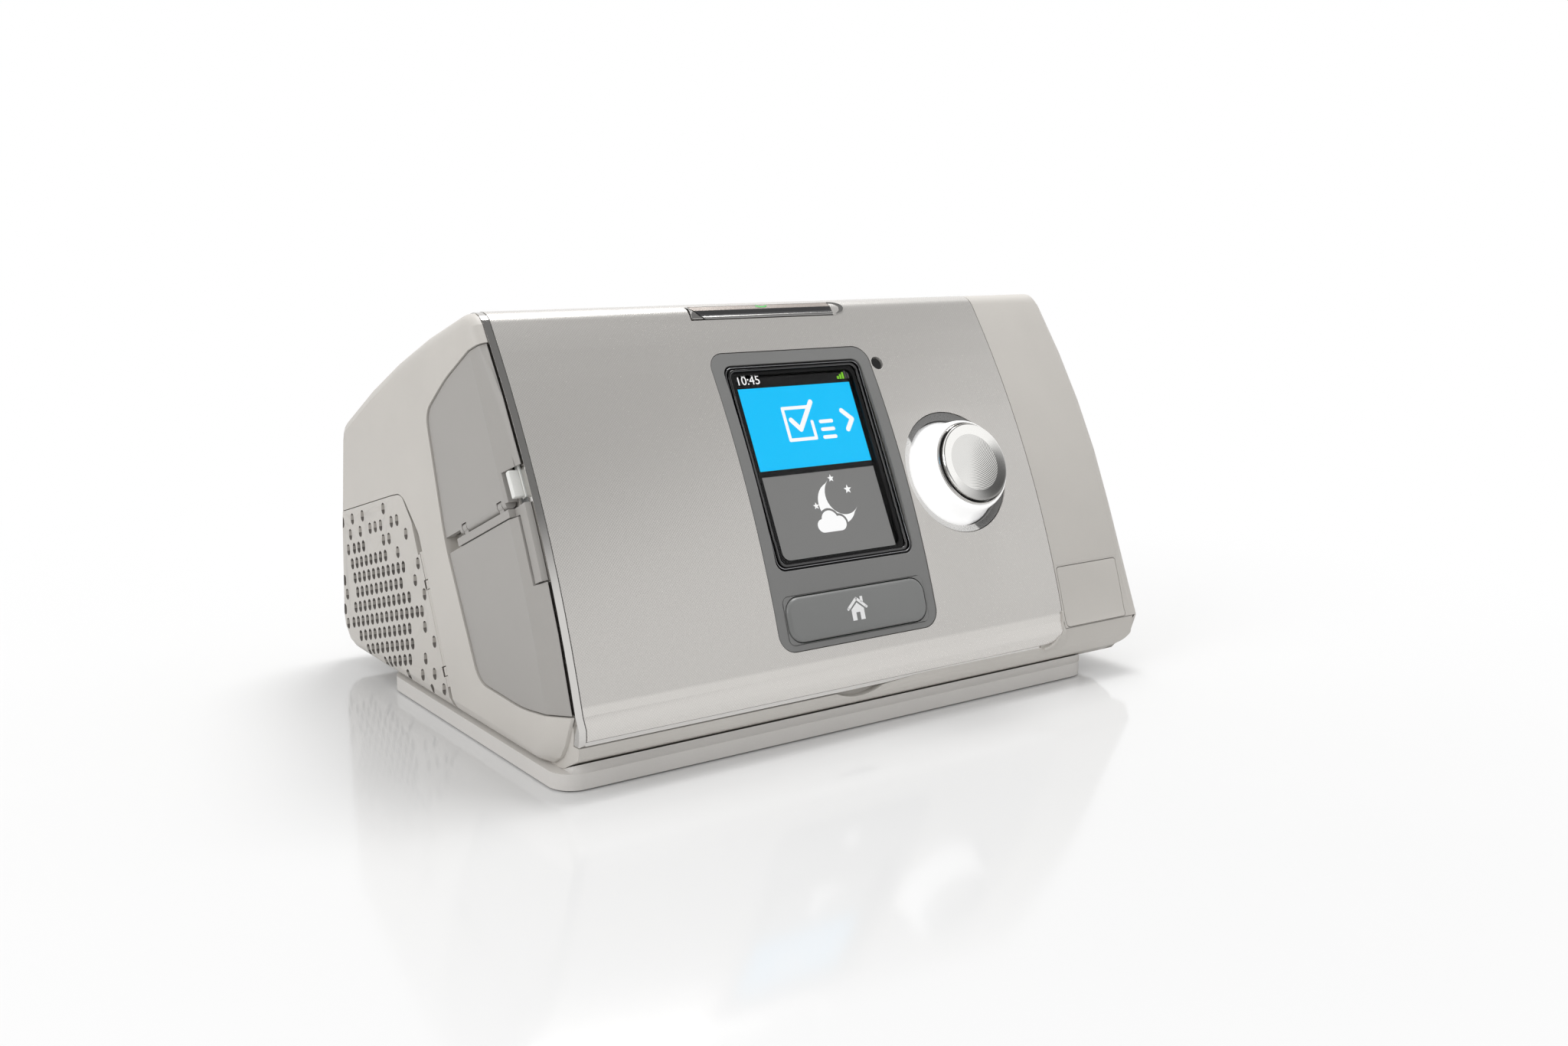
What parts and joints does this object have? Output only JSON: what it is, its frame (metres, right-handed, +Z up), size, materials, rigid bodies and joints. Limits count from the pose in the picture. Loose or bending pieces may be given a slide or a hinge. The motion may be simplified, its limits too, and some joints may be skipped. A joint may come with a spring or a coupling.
{
  "type": "bilevel pap machine",
  "caption": "Bedside breathing machine with a bowed silver front, upright screen, press-and-turn dial, home and start keys, side covers, air filter, blower and a rear air outlet",
  "frame": {"origin": "centre of the footprint of the overall box, at table height", "axes": "+X to the right as the user faces the screen, +Y to the rear, +Z up"},
  "size_m": [0.205, 0.15, 0.116],
  "materials": {
    "shell": "fine texture",
    "base": "fine texture",
    "cover": "fine texture",
    "fascia": "silver with a fine dotted texture",
    "bright": "polished",
    "grey": "satin",
    "screen": "clear",
    "display": "lit display",
    "board": "circuit board",
    "steel": "plain",
    "cap": "turned",
    "white": "satin",
    "black": "plain",
    "inner": "plain",
    "rubber": "plain",
    "filter": "pleated fibre"
  },
  "bodies": {
    "casing": {"lower_housing": "shell", "base_skirt": "base", "rubber_feet": "rubber", "housing_screws": "steel", "upper_housing": "shell", "bay_bulkhead": "inner", "side_panel": "shell", "cover_bar": "cover", "fascia": "fascia", "fascia_trim": "bright", "screen_bezel": "grey", "screen_glass": "screen", "lcd_module": "display", "main_board": "board", "board_screws": "steel", "light_sensor": "black", "dial_well": "white", "dial_encoder": "black", "home_switch": "black", "start_switch": "black", "card_reader": "steel", "adapter_socket": "black", "filter_frame": "inner", "air_filter": "filter", "inlet_muffler": "inner", "blower_suspension": "rubber", "lower_volute": "inner", "upper_volute": "inner", "blower_motor": "black", "outlet_duct": "inner", "flow_sensor": "board", "outlet_elbow": "inner", "outlet_pocket": "shell", "outlet_seal": "rubber", "power_inlet": "black", "bay_seals": "rubber"},
    "dial_stem": {"dial_plunger": "steel"},
    "dial": {"dial_shaft": "steel", "dial_skirt": "white", "dial_cap": "cap"},
    "home_button": {"home_key": "grey"},
    "start_button": {"start_key": "bright"},
    "card_door": {"card_cover": "cover"},
    "card": {"memory_card": "white"},
    "adapter_door": {"adapter_cover": "cover"},
    "filter_door": {"filter_cover": "shell"},
    "cord_clip": {"inlet_clip": "grey"},
    "side_module": {"side_cover": "shell", "side_end_cap": "shell", "bypass_duct": "inner", "model_plate": "shell"},
    "rotor": {"impeller": "white", "blower_shaft": "steel"}
  },
  "joints": [
    {"name": "dial_press", "type": "slide", "parent": "casing", "child": "dial_stem", "axis": [0, 0.897, -0.442], "range_m": [0, 0.001], "stiffness_N_per_m": 1500, "springref_m": -0.0006},
    {"name": "dial_turn", "type": "hinge", "parent": "dial_stem", "child": "dial", "pos_m": [0.0419, -0.05249, 0.06662], "axis": [0, -0.897, 0.442], "continuous": true},
    {"name": "home_press", "type": "slide", "parent": "casing", "child": "home_button", "axis": [0, 0.9427, -0.3336], "range_m": [0, 0.0008], "stiffness_N_per_m": 1200, "springref_m": -0.0006},
    {"name": "start_press", "type": "slide", "parent": "casing", "child": "start_button", "axis": [0, 0.7071, -0.7071], "range_m": [0, 0.0008], "stiffness_N_per_m": 1200, "springref_m": -0.0006},
    {"name": "card_door_hinge", "type": "hinge", "parent": "casing", "child": "card_door", "pos_m": [-0.1005, -0.01241, 0.05677], "axis": [0, -0.9171, 0.3986], "range_deg": [0, 90]},
    {"name": "card_press", "type": "slide", "parent": "casing", "child": "card", "axis": [1, 0, 0], "range_m": [0, 0.0008], "stiffness_N_per_m": 800, "springref_m": -0.0006},
    {"name": "adapter_door_pull", "type": "slide", "parent": "casing", "child": "adapter_door", "axis": [-1, 0, 0], "range_m": [0, 0.025]},
    {"name": "filter_door_hinge", "type": "hinge", "parent": "casing", "child": "filter_door", "pos_m": [-0.1009, -0.00857, 0.00404], "axis": [0, 0.4209, 0.9071], "range_deg": [0, 75]},
    {"name": "cord_clip_hinge", "type": "hinge", "parent": "casing", "child": "cord_clip", "pos_m": [-0.046, 0.0721, 0.032], "axis": [-1, 0, 0], "range_deg": [0, 90]},
    {"name": "side_module_slide", "type": "slide", "parent": "casing", "child": "side_module", "axis": [1, 0, 0], "range_m": [0, 0.03]},
    {"name": "rotor_spin", "type": "hinge", "parent": "casing", "child": "rotor", "pos_m": [-0.016, 0.002, 0.035], "axis": [0, 0, 1], "continuous": true}
  ]
}
